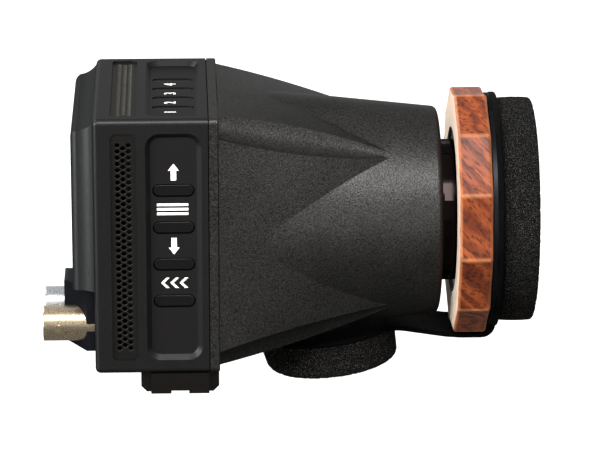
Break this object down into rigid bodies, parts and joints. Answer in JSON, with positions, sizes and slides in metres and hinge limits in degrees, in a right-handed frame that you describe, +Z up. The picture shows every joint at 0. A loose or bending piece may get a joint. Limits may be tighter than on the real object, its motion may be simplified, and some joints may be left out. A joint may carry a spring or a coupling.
{
  "type": "electronic viewfinder",
  "caption": "Box-shaped electronic viewfinder with side and top keypads, coaxial sockets, a tapering rear housing, a wooden focusing ring and a foam eyecup with a strapped cap.",
  "frame": {"origin": "middle of the mounting rail's bottom face", "axes": "+X along the optical axis towards the eye, +Y away from the keypad side, +Z up"},
  "size_m": [0.1349, 0.071, 0.0806],
  "materials": {
    "box_black": "satin, fine texture",
    "bezel_black": "satin",
    "rail_black": "satin",
    "housing_charcoal": "matte, speckled grain",
    "gasket_rubber": "matte",
    "panel_black": "fine matte",
    "button_black": "satin",
    "grille_black": "satin, perforated",
    "connector_black": "satin",
    "nickel": "bright nickel plate",
    "insulator_white": "matte",
    "contact_gold": "gold plate",
    "screw_steel": "machined",
    "board_green": "solder mask",
    "chip_black": "matte",
    "spreader": "plain",
    "frame_black": "matte",
    "screen_glass": "gloss",
    "lamp_white": "matte",
    "tube_black": "gloss black anodised",
    "eyepiece_black": "matt black anodised",
    "lens_glass": "polished",
    "wood": "oiled, worn edges",
    "leather": "fine grain",
    "foam": "open-cell foam"
  },
  "bodies": {
    "housing": {"main_housing": "box_black", "mounting_rail": "rail_black", "rail_screws": "screw_steel", "connector_block": "connector_black", "front_bezel": "bezel_black", "bezel_screws": "screw_steel", "rear_housing": "housing_charcoal", "flange_gasket": "gasket_rubber", "screen_frame": "frame_black", "screen_panel": "screen_glass", "backlight": "lamp_white", "main_board": "board_green", "heat_spreader": "spreader", "main_chips": "chip_black", "board_screws": "screw_steel", "housing_screws": "screw_steel", "nose_tube": "tube_black", "nose_screws": "screw_steel", "side_key_panel": "panel_black", "side_switches": "chip_black", "side_key_board": "board_green", "side_grille": "grille_black", "top_key_panel": "panel_black", "top_switches": "chip_black", "top_key_board": "board_green", "top_grille": "grille_black", "near_socket_shell": "nickel", "near_socket_insulator": "insulator_white", "near_socket_contact": "contact_gold", "near_socket_nut": "nickel", "far_socket_shell": "nickel", "far_socket_insulator": "insulator_white", "far_socket_contact": "contact_gold", "far_socket_nut": "nickel"},
    "eyepiece": {"eyepiece_barrel": "eyepiece_black", "guide_pin": "screw_steel", "front_lens": "lens_glass", "eye_lens": "lens_glass", "lens_spacer": "eyepiece_black", "lens_keeper": "eyepiece_black", "eyecup_plate": "eyepiece_black", "leather_pad": "leather", "eye_foam": "foam"},
    "focus_ring": {"wooden_ring": "wood", "ring_collar": "eyepiece_black"},
    "strap_bridge": {"strap_bridge": "leather"},
    "strap_tongue": {"strap_tongue": "leather"},
    "cap": {"cap_leather": "leather", "cap_foam": "foam"},
    "button_up_key": {"button_up": "button_black"},
    "button_select_key": {"button_select": "button_black"},
    "button_down_key": {"button_down": "button_black"},
    "button_return_key": {"button_return": "button_black"},
    "button_1_key": {"button_1": "button_black"},
    "button_2_key": {"button_2": "button_black"},
    "button_3_key": {"button_3": "button_black"},
    "button_4_key": {"button_4": "button_black"}
  },
  "joints": [
    {"name": "button_up_press", "type": "slide", "parent": "housing", "child": "button_up_key", "axis": [0, 1, 0], "range_m": [0, 0.0005], "stiffness_N_per_m": 600, "springref_m": -0.0004},
    {"name": "button_select_press", "type": "slide", "parent": "housing", "child": "button_select_key", "axis": [0, 1, 0], "range_m": [0, 0.0005], "stiffness_N_per_m": 600, "springref_m": -0.0004},
    {"name": "button_down_press", "type": "slide", "parent": "housing", "child": "button_down_key", "axis": [0, 1, 0], "range_m": [0, 0.0005], "stiffness_N_per_m": 600, "springref_m": -0.0004},
    {"name": "button_return_press", "type": "slide", "parent": "housing", "child": "button_return_key", "axis": [0, 1, 0], "range_m": [0, 0.0005], "stiffness_N_per_m": 600, "springref_m": -0.0004},
    {"name": "button_1_press", "type": "slide", "parent": "housing", "child": "button_1_key", "axis": [0, 0, -1], "range_m": [0, 0.0005], "stiffness_N_per_m": 600, "springref_m": -0.0004},
    {"name": "button_2_press", "type": "slide", "parent": "housing", "child": "button_2_key", "axis": [0, 0, -1], "range_m": [0, 0.0005], "stiffness_N_per_m": 600, "springref_m": -0.0004},
    {"name": "button_3_press", "type": "slide", "parent": "housing", "child": "button_3_key", "axis": [0, 0, -1], "range_m": [0, 0.0005], "stiffness_N_per_m": 600, "springref_m": -0.0004},
    {"name": "button_4_press", "type": "slide", "parent": "housing", "child": "button_4_key", "axis": [0, 0, -1], "range_m": [0, 0.0005], "stiffness_N_per_m": 600, "springref_m": -0.0004},
    {"name": "eyepiece_focus", "type": "slide", "parent": "housing", "child": "eyepiece", "axis": [1, 0, 0], "range_m": [-0.0025, 0.0025]},
    {"name": "ring_turn", "type": "hinge", "parent": "eyepiece", "child": "focus_ring", "pos_m": [0.0803, 0, 0.0412], "axis": [1, 0, 0], "range_deg": [-76, 76]},
    {"name": "strap_fold", "type": "hinge", "parent": "eyepiece", "child": "strap_bridge", "pos_m": [0.0874, 0, 0.00595], "axis": [0, -1, 0], "range_deg": [0, 179.5]},
    {"name": "tongue_fold", "type": "hinge", "parent": "strap_bridge", "child": "strap_tongue", "pos_m": [0.07595, 0, 0.00595], "axis": [0, -1, 0], "range_deg": [0, 103.78]},
    {"name": "cap_fold", "type": "hinge", "parent": "strap_tongue", "child": "cap", "pos_m": [0.05997, 0, 0.00987], "axis": [0, -1, 0], "range_deg": [-20, 0]}
  ],
  "couplings": [
    {"joint": "ring_turn", "follows": "eyepiece_focus", "rad_per_m": 523.6},
    {"joint": "cap_fold", "follows": "tongue_fold", "ratio": -0.19229}
  ]
}
